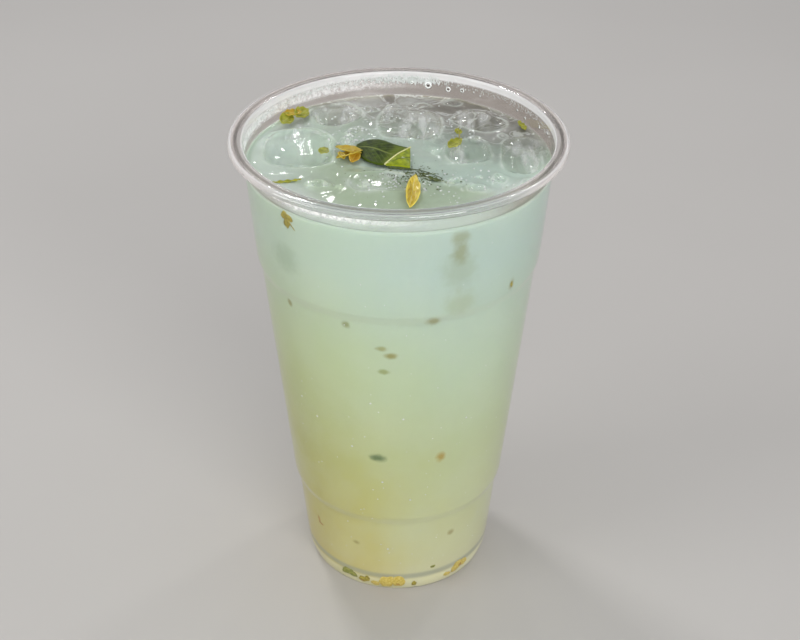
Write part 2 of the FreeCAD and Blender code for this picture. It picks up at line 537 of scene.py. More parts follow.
def ice_material():
    """Wet clear ice with a faint milky cloud and streaks in it."""
    material = clear_material("clear_ice", (0.87, 0.89, 0.87, 1), 1.31, 0.015, 190.0, 0.3 * MM)
    tree = material.node_tree
    shader = tree.nodes["Principled BSDF"]
    place = object_place(tree)
    stretched = add(tree, "ShaderNodeMapping")
    set_inputs(stretched, {"Vector": place, "Scale": (2.6, 0.8, 1.0)})
    cloud = noise_of(stretched.outputs["Vector"], 95.0, 5.0, 0.6)
    feed(mapped(cloud, 0.45, 0.70, 1.0, 0.55), shader.inputs["Transmission Weight"])
    return material


def pearl_material():
    """Small bubbles and drops that catch the light."""
    material, tree, shader = new_material("pearl_bubbles")
    tone = noise_of(object_place(tree), 600.0)
    colour = ramp_of(tone, [(0.35, srgb(216, 222, 218)), (0.7, srgb(244, 246, 245))])
    set_inputs(shader, {"Base Color": colour, "Roughness": 0.15, "Transmission Weight": 0.1})
    return material


def split_of(place):
    """The x, y and z of a vector."""
    split = add(place.id_data, "ShaderNodeSeparateXYZ")
    link(place, split.inputs["Vector"])
    return split.outputs


# What drifts in the cloudy drink close behind the wall shows as a soft stain: its angle
# and height on the wall, its half size across and up, its colour and how much of that
# colour shows.
STAINS = [
    (22, 139.0, 3.2, 2.6, srgb(150, 154, 112), 0.55),
    (22.5, 134.0, 2.8, 4.0, srgb(150, 154, 110), 0.65),
    (23, 128.0, 6.0, 7.0, srgb(160, 172, 140), 0.35),
    (49, 116.5, 1.3, 2.2, srgb(150, 146, 92), 0.6),
    (13.5, 112.0, 2.4, 1.7, srgb(146, 142, 88), 0.75),
    (24, 117.0, 5.5, 4.5, srgb(168, 178, 140), 0.4),
    (-21, 109.5, 1.4, 1.3, srgb(136, 140, 82), 0.7),
    (-49, 109.5, 1.3, 1.4, srgb(138, 134, 78), 0.75),
    (-6.7, 102.4, 2.1, 1.0, srgb(150, 150, 88), 0.7),
    (-2.8, 99.9, 2.0, 1.3, srgb(150, 144, 76), 0.8),
    (-6, 94.0, 1.8, 1.1, srgb(142, 150, 86), 0.7),
    (-47, 126.0, 6.0, 5.5, srgb(152, 170, 142), 0.4),
    (-9.5, 60.0, 2.7, 1.7, srgb(86, 112, 70), 0.85),
    (21, 59.0, 1.8, 2.3, srgb(172, 146, 66), 0.85),
    (32, 23.0, 1.4, 1.4, srgb(140, 124, 72), 0.6),
    (-24.5, 20.0, 1.3, 1.0, srgb(140, 128, 66), 0.6),
    (128, 100.0, 2.4, 1.6, srgb(150, 154, 100), 0.6),
    (172, 82.0, 3.0, 1.8, srgb(150, 156, 104), 0.6),
    (-150, 118.0, 2.2, 2.0, srgb(146, 150, 98), 0.6),
    (-118, 64.0, 2.6, 1.6, srgb(124, 142, 98), 0.6),
    (100, 44.0, 1.9, 1.7, srgb(166, 156, 92), 0.6),
    (-175, 30.0, 1.8, 1.8, srgb(150, 146, 92), 0.6),
]


def vector_math(operation, first, second=None):
    node = add(first.id_data, "ShaderNodeVectorMath", operation=operation)
    feed(first, node.inputs[0])
    feed(second, node.inputs[1])
    return node.outputs


def stained(place, colour):
    """Adds every soft stain to the drink's colour."""
    wobble = noise_of(place, 420.0)
    for angle, height, across, up, tone, amount in STAINS:
        shift = vector_math("SUBTRACT", place, on_wall(angle, GROUND + height * MM))[0]
        scaled = vector_math("DIVIDE", shift, Vector((across, across, up)) * MM)[0]
        ragged = total(vector_math("LENGTH", scaled)["Value"], product(wobble, 0.9))
        colour = mixed(mapped(ragged, 0.7, 1.7, amount, 0.0), colour, tone)
    return colour


def lemonade_material():
    material, tree, shader = new_material("cloudy_lemonade")
    place = object_place(tree)
    x, y, z = split_of(place)
    height = mapped(z, GROUND, LEVEL, curve="LINEAR")
    # The left ramp is painted yellower and darker and the right one paler: a painted warm reflection on the
    # left and painted light on the right.
    left = ramp_of(height, [
        (0.00, srgb(196, 184, 112)), (0.10, srgb(192, 182, 104)), (0.40, srgb(182, 184, 116)),
        (0.65, srgb(188, 200, 154)), (0.90, srgb(190, 207, 188)),
    ])
    right = ramp_of(height, [
        (0.00, srgb(206, 202, 168)), (0.10, srgb(200, 202, 162)), (0.40, srgb(190, 200, 160)),
        (0.65, srgb(189, 205, 180)), (0.90, srgb(186, 204, 194)),
    ])
    drift = product(noise_of(place, 26.0), 50 * MM)
    side = mapped(total(x, drift), -12 * MM, 45 * MM)
    colour = mixed(side, left, right)
    clouds = mapped(noise_of(place, 60.0, 4.0), 0.35, 0.7, 0.0, 0.14)
    colour = mixed(clouds, colour, srgb(206, 216, 200))
    colour = stained(place, colour)
    # Painted light: a pale band on each ledge's slope lightens the shade that falls under the ledge.
    for ledge in (UPPER_LEDGE, LOWER_LEDGE):
        off = gap(z, ledge - LEDGE_SLOPE / 2)
        pale = mapped(off, 0.6 * MM, 2.2 * MM, 0.10, 0.0)
        colour = mixed(pale, colour, srgb(224, 230, 204))
    radius = distance_from_axis(x, y)
    colour = foot_corner_shade(z, radius, colour)
    colour = top_with_painted_light((place, x, y, radius), colour)
    set_inputs(shader, {
        "Base Color": colour, "Subsurface Weight": 0.65, "Subsurface Radius": (1.0, 1.0, 0.8),
        "Subsurface Scale": 3.0 * MM, "IOR": 1.34, "Roughness": 0.04,
    })
    bumped(shader, noise_of(place, 240.0), 0.5, 0.3 * MM)
    return material


def foot_corner_shade(z, radius, colour):
    """A soft grey ring of painted shade where the base meets the wall, and a pale foot below it."""
    off_corner = gap(z, BASE_RISE + 0.7 * MM)
    at_wall = mapped(radius, 28.5 * MM, 29.2 * MM)
    line = product(mapped(off_corner, 0.3 * MM, 1.7 * MM, 0.6, 0.0), at_wall)
    colour = mixed(line, colour, srgb(150, 156, 146))
    foot = mapped(z, BASE_RISE - 1.4 * MM, BASE_RISE - 0.2 * MM, 0.55, 0.0)
    return mixed(foot, colour, srgb(226, 226, 192))


def top_with_painted_light(axes, colour):
    """Meltwater on top, with painted light and shade: greyer over the ice as painted shade, with swirls
    that turn to a painted dark mauve at the back, darkest at the right, and a painted pale highlight along
    the waterline round the ice.
    """
    place, x, y, radius = axes
    surface, bowl, line = (attribute_of(place.id_data, name) for name in DRINK_MARKS)
    swirl = noise_of(place, 62.0, 5.0, 0.6, 1.6)
    front = front_of_top((x, y, radius), swirl, bowl, colour)
    # Painted dark mauve at the back, darkest at the right, stands in for dark surroundings seen through the
    # clear top; the pale threads follow the swirls.
    painted_dark_back = ramp_of(swirl, [
        (0.32, srgb(112, 104, 98)), (0.5, srgb(152, 146, 139)), (0.66, srgb(190, 190, 185)),
    ])
    painted_dark_back = mixed(mapped(x, 4 * MM, 26 * MM, 0.0, 0.5), painted_dark_back, srgb(112, 108, 100))
    threads = mapped(gap(swirl, 0.5), 0.006, 0.024, 0.6, 0.0)
    painted_rear_reflection = mixed(threads, painted_dark_back, srgb(222, 224, 221))
    turned = total(total(y, product(swirl, 40 * MM)), product(x, 0.30))
    back = mapped(turned, 22 * MM, 56 * MM, 0.0, 0.92)
    top = mixed(back, front, painted_rear_reflection)
    # A painted pale highlight, broken up, along the waterline round the ice.
    waterline_highlight = product(line, mapped(noise_of(place, 130.0), 0.42, 0.62, 0.0, 0.5))
    top = mixed(waterline_highlight, top, srgb(218, 226, 218))
    return mixed(surface, colour, top)


# The long edge of the wide piece of ice in front: its direction across, east and north,
# and how far from the axis it runs.
PLATE_ACROSS = (0.382, 0.924)
PLATE_EDGE = -8.7 * MM


def front_of_top(axes, swirl, bowl, colour):
    """The top towards the front: yellower over the wide ice; painted shade makes it greyer over the ice and
    darker at the right and at the meniscus, and painted light makes it paler at the left and by the wall.
    """
    x, y, radius = axes
    across = total(product(x, PLATE_ACROSS[0]), product(y, PLATE_ACROSS[1]))
    wavering = total(across, product(swirl, 4 * MM))
    near = mapped(wavering, PLATE_EDGE - 1.5 * MM, PLATE_EDGE + 3.5 * MM, 0.65, 0.15)
    front = mixed(near, colour, srgb(160, 174, 140))
    in_middle = mapped(math_of("ABSOLUTE", x), 12 * MM, 20 * MM, 0.4, 0.0)
    ridge = product(line_at(wavering, PLATE_EDGE + 2.0 * MM, 0.7 * MM), in_middle)
    front = mixed(ridge, front, srgb(206, 212, 176))
    # Painted shade: greyer in swirls over the ice's bowls.
    painted_bowl_shade = product(bowl, mapped(swirl, 0.38, 0.62, 0.0, 0.7))
    front = mixed(painted_bowl_shade, front, srgb(166, 174, 162))
    # Painted light: paler towards the left.
    front = mixed(mapped(x, -36 * MM, -14 * MM, 0.6, 0.0), front, srgb(200, 212, 208))
    # Painted shade: darker towards the right and back.
    shaded = product(mapped(x, 6 * MM, 30 * MM, 0.0, 0.6), mapped(y, -10 * MM, 4 * MM))
    front = mixed(shaded, front, srgb(134, 142, 130))
    # Painted light: paler by the front wall.
    by_wall = product(mapped(radius, 28 * MM, 40 * MM, 0.0, 0.75), mapped(y, -22 * MM, -8 * MM, 1.0, 0.0))
    front = mixed(by_wall, front, srgb(216, 221, 217))
    edge = inner_radius(LEVEL)
    # Painted shade: darker at the meniscus by the wall.
    meniscus = mapped(radius, edge - 1.8 * MM, edge - 0.4 * MM, 0.0, 0.8)
    return mixed(meniscus, front, srgb(158, 176, 160))


def attribute_of(tree, name):
    return add(tree, "ShaderNodeAttribute", attribute_name=name).outputs["Fac"]


def leaf_material(name, dark, light, vein, tip=None, wet=0.15):
    """A leaf or petal: mottled, with a pale midrib, fine side veins and lighter edges."""
    material, tree, shader = new_material(name)
    uv = add(tree, "ShaderNodeUVMap", uv_map="leaf").outputs["UV"]
    along, across, _ = split_of(uv)
    mottle = noise_of(object_place(tree), 700.0, 4.0)
    colour = ramp_of(mottle, [(0.35, dark), (0.68, light)])
    if tip:
        colour = mixed(mapped(along, 0.68, 0.86, 0.0, 0.85), colour, tip)
    off_rib = gap(across, 0.5)
    slant = difference(product(along, 9.0), product(off_rib, 7.0))
    side_veins = mapped(math_of("PINGPONG", slant, 0.5), 0.0, 0.10, 0.4, 0.0)
    rib = mapped(off_rib, 0.012, 0.035, 0.9, 0.0)
    veins = math_of("MAXIMUM", rib, side_veins)
    colour = mixed(veins, colour, vein)
    colour = mixed(mapped(off_rib, 0.40, 0.5, 0.0, 0.75), colour, light)
    set_inputs(shader, {
        "Base Color": colour, "Roughness": 0.42, "Specular IOR Level": 0.12 + wet,
        "Coat Weight": wet, "Coat Roughness": 0.1,
    })
    bumped(shader, difference(mottle, veins), 0.5, 0.2 * MM)
    return material


def flake_material(name, dark, light):
    material, tree, shader = new_material(name)
    mottle = noise_of(object_place(tree), 1500.0, 3.0)
    colour = ramp_of(mottle, [(0.35, dark), (0.65, light)])
    set_inputs(shader, {"Base Color": colour, "Roughness": 0.4})
    return material


# --- Ice -------------------------------------------------------------------------
# How far each cube has melted out of the shape it froze in: the shift of its middle, east
# and north in millimetres, and the growth of its width and depth.
ICE_SPREAD = {
    "ice_1": (-0.3, 0.5, 1.16, 1.26), "ice_2": (0.0, 0.0, 1.08, 1.12), "ice_3": (1.0, 1.5, 0.94, 1.36),
    "ice_4": (0.0, 0.0, 1.10, 1.06), "ice_5": (1.5, 0.5, 0.96, 1.16), "ice_6": (0.3, 0.0, 1.16, 1.20),
    "ice_7": (0.0, -0.6, 1.10, 1.05),
}


def make_ice(node, material):
    """The CAD cube, melted: remeshed, rounded into a dome and uneven."""
    piece = bpy.data.objects.new(f"{node}_melted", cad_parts[node].data.copy())
    bpy.context.scene.collection.objects.link(piece)
    remesh = piece.modifiers.new("remesh", "REMESH")
    remesh.mode = "VOXEL"
    remesh.voxel_size = ICE_VOXEL
    smooth = piece.modifiers.new("smooth", "SMOOTH")
    smooth.iterations = ICE_SMOOTHING
    mesh = applied(piece).data
    mesh.name = piece.name
    low, high = (Vector(corner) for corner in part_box(node))
    east, north, wider, deeper = ICE_SPREAD[node]
    middle = (low + high) / 2 + Vector((east, north, 0)) * MM
    target = Vector(((high.x - low.x) * wider, (high.y - low.y) * deeper, high.z - low.z))
    places = [vertex.co for vertex in mesh.vertices]
    least = Vector([min(place[k] for place in places) for k in range(3)])
    most = Vector([max(place[k] for place in places) for k in range(3)])
    for vertex in mesh.vertices:
        share = Vector([(vertex.co[k] - least[k]) / (most[k] - least[k]) - 0.5 for k in range(3)])
        place = middle + Vector([share[k] * target[k] for k in range(3)])
        seed = place / (9 * MM) + Vector((0, node_number(node) * 7.3, 0))
        place += (place - middle).normalized() * (noise.noise(seed) * 0.8 - 0.2) * MM
        reach = math.hypot(place.x, place.y)
        limit = inner_radius(min(place.z, RIM)) - 0.6 * MM
        if reach > limit:
            place.xy *= limit / reach
        vertex.co = place
    mesh.shade_smooth()
    return finished(piece, material, "ice", node)


def node_number(node):
    return int(node.split("_")[1])


# --- Drink -----------------------------------------------------------------------
def surface_height(x, y, ice_tree):
    """Height of the drink's surface, and how far it is in a bowl and on a waterline."""
    wall_gap = max(inner_radius(LEVEL) - math.hypot(x, y), 0.0)
    height = LEVEL + WALL_CLIMB * math.exp(-wall_gap / WALL_CLIMB_LENGTH)
    wave = noise.noise(Vector((x, y, 0)) / (8 * MM)) * 0.42 * MM
    wave += noise.noise(Vector((x, y, 5)) / (2.8 * MM)) * 0.13 * MM
    height += wave * smoothstep(0, 3 * MM, wall_gap)
    point = Vector((x, y, LEVEL))
    near, normal, _, distance = ice_tree.find_nearest(point)
    line = math.exp(-((distance / LINE_WIDTH) ** 2))
    if (point - near).dot(normal) < 0:
        deep = smoothstep(0, ICE_BOWL_WIDTH, distance)
        return height - ICE_BOWL * deep + ICE_CLIMB * 0.6, smoothstep(0, 0.4, deep), line
    return height + ICE_CLIMB * math.exp(-distance / ICE_CLIMB_LENGTH), 0.0, line


def make_lemonade(material, ice):
    """The drink up to the wall. Its top is marked for its material by attributes."""
    tree = merged_tree(ice)
    sheet = traced(foot_and_wall())
    side = [point + normal * (WALL - REACH) for point, normal in sheet]
    side = [(max(p.x, 0.0), p.y) for p in side if p.y < LEVEL + WALL_CLIMB]
    edge = inner_radius(LEVEL) + REACH
    top = [(edge * (1 - ring / TOP_RINGS), LEVEL) for ring in range(TOP_RINGS + 1)]
    drink, rings = revolved("lemonade_drink", side + top, DRINK_SEGMENTS, False)
    marks = [drink.data.attributes.new(name, "FLOAT", "POINT") for name in DRINK_MARKS]
    for ring in rings[len(side):]:
        for index in dict.fromkeys(ring):
            vertex = drink.data.vertices[index]
            vertex.co.z, bowl, line = surface_height(vertex.co.x, vertex.co.y, tree)
            for mark, value in zip(marks, (1.0, bowl, line)):
                mark.data[index].value = value
    return finished(drink, material, "lemonade", "lemonade")


def merged_tree(pieces):
    """A search tree of several meshes."""
    vertices = []
    faces = []
    for piece in pieces:
        first = len(vertices)
        vertices += [v.co.copy() for v in piece.data.vertices]
        faces += [[first + i for i in p.vertices] for p in piece.data.polygons]
    return BVHTree.FromPolygons(vertices, faces)


# --- Leaves and petals -----------------------------------------------------------
def leaf_form(name, length, width, widest=0.45, curl=0.0, bend=0.0, ruffle=0.0, thickness=0.3):
    """A pointed oval sheet about the origin, along X, in millimetres.

    curl lifts its long edges, bend lifts its ends and ruffle waves its edge."""
    columns, rows = 28, 14
    vertices = []
    for i in range(columns + 1):
        along = i / columns
        stretched = along ** (math.log(0.5) / math.log(widest))
        half = width / 2 * max(math.sin(math.pi * stretched), 0.0) ** 0.75
        for j in range(rows + 1):
            across = 2 * j / rows - 1
            x = (along - 0.5) * length
            y = across * half
            z = curl * across * across * (half / (width / 2)) + bend * (2 * along - 1) ** 2
            z += ruffle * math.sin(along * 23 + across * 2) * abs(across)
            vertices.append(Vector((x, y, z)) * MM)
    piece = grid_object(name, vertices, columns, rows)
    clean_tips(piece)
    thicken(piece, thickness * MM)
    return piece


def thicken(piece, thickness):
    solid = piece.modifiers.new("thickness", "SOLIDIFY")
    solid.thickness = thickness
    solid.offset = 0


def grid_object(name, vertices, columns, rows):
    """A mesh of a grid of vertices, column by column, with a UV map called leaf."""
    faces = []
    uvs = []
    for i in range(columns):
        for j in range(rows):
            corners = [(i, j), (i + 1, j), (i + 1, j + 1), (i, j + 1)]
            faces.append([a * (rows + 1) + b for a, b in corners])
            uvs += [(a / columns, b / rows) for a, b in corners]
    piece = mesh_object(name, vertices, faces)
    layer = piece.data.uv_layers.new(name="leaf")
    for loop, uv in zip(layer.data, uvs):
        loop.uv = uv
    return piece


def clean_tips(piece):
    """Joins the points that meet in a leaf's two tips."""
    work = bmesh.new()
    work.from_mesh(piece.data)
    bmesh.ops.remove_doubles(work, verts=work.verts, dist=0.005 * MM)
    work.to_mesh(piece.data)
    work.free()


def applied(piece):
    """Bakes a piece's modifiers into its mesh."""
    evaluated = piece.evaluated_get(bpy.context.evaluated_depsgraph_get())
    mesh = bpy.data.meshes.new_from_object(evaluated)
    piece.modifiers.clear()
    piece.data = mesh
    return piece


def set_down(piece, place, turn=0.0, tilt=0.0, roll=0.0):
    """Rolls a piece about its length, tilts its far end up, turns it and places it."""
    applied(piece)
    matrix = (
        Matrix.Translation(Vector(place))
        @ Matrix.Rotation(math.radians(turn), 4, "Z")
        @ Matrix.Rotation(math.radians(-tilt), 4, "Y")
        @ Matrix.Rotation(math.radians(roll), 4, "X")
    )
    piece.data.transform(matrix)
    return piece


def over(x, y, lift):
    """A place over the drink, in millimetres from the axis and above the level."""
    return Vector((x * MM, y * MM, LEVEL + lift * MM))


def sheet_between(name, edges, rows=14, columns=20, bulge=0.0, thickness=0.3):
    """A sheet between two edges, each a list of (x, y, lift) in millimetres.

    bulge lifts its middle. Its UV map runs along the edges, and across between them."""
    near, far = ([over(*point) for point in edge] for edge in edges)
    vertices = []
    for i in range(columns + 1):
        along = i / columns
        start = on_path(near, along)
        end = on_path(far, along)
        for j in range(rows + 1):
            across = j / rows
            lift = bulge * MM * math.sin(math.pi * across) * math.sin(math.pi * along)
            vertices.append(start.lerp(end, across) + Vector((0, 0, lift)))
    piece = grid_object(name, vertices, columns, rows)
    clean_tips(piece)
    thicken(piece, thickness * MM)
    return applied(piece)


def on_path(points, share):
    """A point on a smooth path through points, share from 0 to 1 along it."""
    place = share * (len(points) - 1)
    index = min(int(place), len(points) - 2)
    t = place - index
    before = points[max(index - 1, 0)]
    start, end = points[index], points[index + 1]
    after = points[min(index + 2, len(points) - 1)]
    leave = (end - before) / 2
    arrive = (after - start) / 2
    bend = start * (2 * t ** 3 - 3 * t ** 2 + 1) + end * (3 * t ** 2 - 2 * t ** 3)
    return bend + leave * (t ** 3 - 2 * t ** 2 + t) + arrive * (t ** 3 - t ** 2)


def stem(name, points, start_radius, end_radius):
    """A thin round stem along a smooth path through points."""
    steps, sides = 18, 8
    centres = [on_path(points, step / steps) for step in range(steps + 1)]
    vertices = []
    for step, centre in enumerate(centres):
        ahead = (centres[min(step + 1, steps)] - centres[max(step - 1, 0)]).normalized()
        aside = ahead.orthogonal().normalized()
        upward = ahead.cross(aside)
        radius = start_radius + (end_radius - start_radius) * step / steps
        for k in range(sides):
            angle = 2 * math.pi * k / sides
            vertices.append(centre + (aside * math.cos(angle) + upward * math.sin(angle)) * radius)
    faces = [list(range(sides))[::-1], [steps * sides + k for k in range(sides)]]
    for step in range(steps):
        for k in range(sides):
            low = step * sides
            faces.append([low + k, low + (k + 1) % sides, low + sides + (k + 1) % sides, low + sides + k])
    return mesh_object(name, vertices, faces)


def stem_over(name, points, start_radius, end_radius):
    """A stem through points given over the drink, with radii in millimetres."""
    return stem(name, [over(*point) for point in points], start_radius * MM, end_radius * MM)


def make_mint(materials):
    """The dark blade, the end that folds back over it and the yellow end."""
    back = [(-12.4, 7.4, 0.9), (-9.2, 9.6, 1.3), (-5.2, 9.2, 1.6), (-1.0, 6.2, 1.5), (3.2, 4.2, 1.4)]
    front = [(-12.4, 3.6, 0.7), (-11.2, 0.2, 0.7), (-8.6, -3.4, 0.8), (-5.2, -5.4, 0.8), (-2.8, -4.6, 0.9)]
    blade = sheet_between("mint_blade", (front, back), bulge=0.7)
    finished(blade, materials["mint"], "mint", "mint_leaf")
    ridge = [(-3.9, -5.9, 1.2), (-0.4, -1.8, 2.3), (3.3, 2.9, 2.2)]
    hem = [(-3.6, -6.2, 1.0), (-0.2, -6.9, 1.1), (3.3, -7.5, 1.0)]
    flap = sheet_between("mint_fold", (ridge, hem), bulge=0.4)
    finished(flap, materials["mint_pale"], "mint")
    rib = stem_over("mint_rib", ((-4.0, -6.0, 1.3), (-0.4, -1.8, 2.5), (3.5, 3.1, 2.4)), 0.3, 0.18)
    finished(rib, materials["cream"], "mint")
    hem_line = stem_over("mint_hem", ((-3.2, -6.5, 0.7), (0.2, -7.3, 0.75), (3.4, -7.8, 0.8)), 0.2, 0.3)
    finished(hem_line, materials["herb"], "mint")
    stalk = stem_over("mint_stalk", ((3.4, -7.8, 0.8), (7.5, -9.0, 0.6), (12.4, -12.2, 0.15)), 0.16, 0.08)
    finished(stalk, materials["herb"], "mint")
    for name, x, y, length, width, turn, roll, finish in YELLOW_END:
        lobe = leaf_form(name, length, width, curl=0.8, bend=0.3, ruffle=0.08)
        set_down(lobe, over(x, y, 1.1), turn, 4, roll)
        finished(lobe, materials[finish], "mint")


# The curled yellow end of the mint: name, place over the drink, length, width, turn, roll
# and material. Lengths are in millimetres.
YELLOW_END = [
    ("yellow_end", -14.6, 3.2, 8.4, 5.2, 158, 10, "gold"),
    ("yellow_lobe", -14.2, 0.4, 8.4, 4.4, 28, -16, "gold"),
    ("yellow_fold", -12.8, -1.0, 6.6, 3.2, 74, 20, "amber"),
    ("yellow_tip", -16.6, -0.4, 4.2, 2.0, 110, 10, "gold"),
]


# Loose petals and leaf scraps on the drink: name, length, width, curl, bend, place over
# the drink, turn, tilt, roll and material.
SCRAPS = [
    ("petal_front", 15.4, 4.0, 1.2, 0.2, (3.8, -22.3, 1.3), 84, 8, 20, "petal"),
    ("petal_inner", 9.5, 1.8, 0.4, 0.1, (3.0, -23.6, 1.9), 86, 7, -10, "gold"),
    ("scrap_dark", 7.5, 1.7, 0.5, 0.3, (8.5, -13.2, 0.3), -24, 2, 8, "herb"),
    ("scrap_dark_small", 4.0, 1.6, 0.3, 0.2, (6.0, -11.0, 0.4), 16, 2, 4, "herb"),
    ("scrap_olive_left", 6.4, 4.2, 0.7, 0.3, (-34.0, 23.6, 1.6), 62, 4, 26, "olive"),
    ("scrap_olive_right", 7.6, 4.2, 0.9, 0.4, (-29.8, 27.2, 1.8), 66, -4, 30, "olive"),
    ("scrap_olive_middle", 6.0, 3.0, 0.5, 0.3, (-32.4, 26.0, 2.4), 10, 2, 12, "gold"),
    ("scrap_yellow", 6.4, 3.4, 0.5, 0.2, (16.4, 4.8, 2.8), 52, 4, 10, "olive"),
    ("scrap_green", 3.4, 2.2, 0.3, 0.2, (17.7, 15.6, 1.4), 95, 3, 10, "olive"),
    ("scrap_right", 5.4, 2.6, 0.4, 0.2, (37.0, 20.6, 1.1), 105, 5, 25, "olive"),
    ("sliver_left", 8.0, 1.0, 0.2, 0.3, (-31.4, -14.6, 0.15), 12, 1, 5, "olive"),
    ("cloud_scrap", 4.6, 3.0, 0.4, 0.2, (-21.8, 2.6, 0.9), 66, 2, 4, "olive"),
]


def make_scraps(materials):
    for name, length, width, curl, bend, place, turn, tilt, roll, finish in SCRAPS:
        scrap = leaf_form(name, length, width, curl=curl, bend=bend, ruffle=0.22, thickness=0.25)
        set_down(scrap, over(*place), turn, tilt, roll)
        finished(scrap, materials[finish], "mint")
    twig = stem_over("scrap_twig", ((17.0, 6.4, 3.0), (17.9, 10.4, 2.2), (17.7, 15.6, 1.6)), 0.24, 0.16)
    finished(twig, materials["olive_flake"], "mint")


# --- Small things in large numbers -----------------------------------------------
def joined(name, shapes):
    """One mesh object of many (vertices, faces)."""
    vertices = []
    faces = []
    for points, polygons in shapes:
        first = len(vertices)
        vertices += points
        faces += [[first + index for index in polygon] for polygon in polygons]
    return mesh_object(name, vertices, faces)


def ball(centre, half, axes=None, sides=10, rings=6, ragged=0.0):
    """A closed ball or pebble about centre, with half sizes along three axes."""
    axes = axes or (Vector((1, 0, 0)), Vector((0, 1, 0)), Vector((0, 0, 1)))
    salt = Vector((random.random(), random.random(), random.random())) * 50
    vertices = []

    def put(direction):
        spread = 1 + ragged * noise.noise(direction * 1.4 + salt)
        offset = sum((axis * direction[k] * half[k] for k, axis in enumerate(axes)), Vector())
        vertices.append(centre + offset * spread)

    put(Vector((0, 0, -1)))
    for ring in range(1, rings):
        slope = math.pi * ring / rings - math.pi / 2
        wide = math.cos(slope)
        for k in range(sides):
            angle = 2 * math.pi * k / sides
            put(Vector((wide * math.cos(angle), wide * math.sin(angle), math.sin(slope))))
    put(Vector((0, 0, 1)))
    faces = [[0, 1 + (k + 1) % sides, 1 + k] for k in range(sides)]
    for ring in range(rings - 2):
        low = 1 + ring * sides
        for k in range(sides):
            after = (k + 1) % sides
            faces.append([low + k, low + after, low + sides + after, low + sides + k])
    low = 1 + (rings - 2) * sides
    last = low + sides
    faces += [[low + k, low + (k + 1) % sides, last] for k in range(sides)]
    return vertices, faces


def on_surface(x, y, trees):
    """The height of the drink or the ice at a place, in millimetres from the axis."""
    start = Vector((x * MM, y * MM, RIM))
    hits = [tree.ray_cast(start, Vector((0, 0, -1)))[0] for tree in trees]
    return max(hit.z for hit in hits if hit)


# Flecks of herb on the surface: how many, the middle and the spread of the patch, and
# the largest half size. Lengths are in millimetres.
FLECKS = [
    (120, 6.5, -11.5, 4.0, 2.8, 0.36), (170, 1.5, -10.5, 4.8, 3.2, 0.22), (40, 0.0, -14.0, 14.0, 8.0, 0.16),
]
# Bubbles on the surface, in the same order.
FROTH = [
    (60, -2.5, -16.0, 3.6, 3.8, 0.34), (70, 12.0, -16.0, 11.0, 6.0, 0.4), (70, 0.0, 18.0, 20.0, 9.0, 0.42),
    (50, -14.0, 14.0, 3.6, 5.0, 0.5), (46, 0.0, -6.0, 30.0, 22.0, 0.3),
]


def scattered(groups, trees):
    """Random places from groups like FLECKS, inside the wall, on the surface."""
    for count, x, y, wide, deep, size in groups:
        for _ in range(count):
            spot = (random.gauss(x, wide), random.gauss(y, deep))
            half = size * random.uniform(0.35, 1.0) * MM
            if math.hypot(*spot) * MM < inner_radius(LEVEL) - 1.5 * MM:
                yield Vector((spot[0] * MM, spot[1] * MM, on_surface(*spot, trees))), half


def make_flecks(material, trees):
    shapes = []
    for centre, half in scattered(FLECKS, trees):
        turn = Matrix.Rotation(random.uniform(0, math.pi), 3, "Z")
        axes = [turn @ Vector(axis) for axis in ((1, 0, 0), (0, 1, 0), (0, 0, 1))]
        size = (half * random.uniform(1.0, 2.0), half * 0.8, half * 0.4)
        shapes.append(ball(centre, size, axes, sides=8, rings=5, ragged=0.6))
    finished(joined("herb_flecks", shapes), material, "mint")


def make_froth(material, trees):
    shapes = [ball(centre, (half, half, half * 0.7)) for centre, half in scattered(FROTH, trees)]
    finished(joined("surface_bubbles", shapes), material, "lemonade")


# Large bubbles on the surface: place, half width and half depth, in millimetres.
LARGE_BUBBLES = [
    (10.9, 5.0, 1.7, 2.8), (-24.7, -17.0, 1.4, 1.5), (-16.5, -18.6, 1.3, 1.3), (14.0, -24.0, 0.7, 0.7),
    (28.6, -14.0, 1.0, 0.8), (17.0, -12.0, 1.1, 0.8), (23.0, -11.0, 0.9, 0.7), (20.0, -17.0, 1.2, 0.8),
    (32.5, 27.0, 0.8, 0.8), (30.0, 23.0, 0.6, 0.6), (-1.0, 8.0, 0.8, 0.6), (3.8, 11.5, 1.0, 0.8),
]


def make_large_bubbles(material, trees):
    shapes = []
    for x, y, wide, deep in LARGE_BUBBLES:
        centre = Vector((x * MM, y * MM, on_surface(x, y, trees)))
        shapes.append(ball(centre, (wide * MM, deep * MM, min(wide, deep) * 0.75 * MM), sides=24, rings=14))
    finished(joined("large_bubbles", shapes), material, "ice")


# Chips of ice that float between the cubes: place and half sizes, in millimetres.
CHIPS = [(-13.2, 17.0, 2.4, 3.0), (-15.0, 10.5, 1.8, 2.6), (-9.5, 33.0, 3.4, 2.4), (-2.0, 34.5, 4.0, 2.6),
         (7.0, 35.5, 3.6, 2.4), (22.5, 13.5, 1.8, 1.6), (30.8, 15.0, 1.6, 2.0), (15.5, -14.5, 2.8, 2.2),
         (22.0, -18.5, 3.2, 2.2), (28.5, -13.0, 2.4, 2.8), (-8.0, 11.8, 1.6, 1.1), (36.5, -15.5, 2.2, 2.6),
         (17.0, 38.0, 3.0, 2.0), (-22.0, -16.5, 2.6, 2.4)]


def make_chips(material):
    """Small melted chips, mostly under the surface, as one mesh."""
    shapes = []
    for x, y, wide, deep in CHIPS:
        thick = 0.7 * min(wide, deep) * MM
        centre = Vector((x * MM, y * MM, LEVEL - thick * 0.35))
        shapes.append(ball(centre, (wide * MM, deep * MM, thick), sides=28, rings=18, ragged=0.35))
    return finished(joined("ice_chips", shapes), material, "ice")


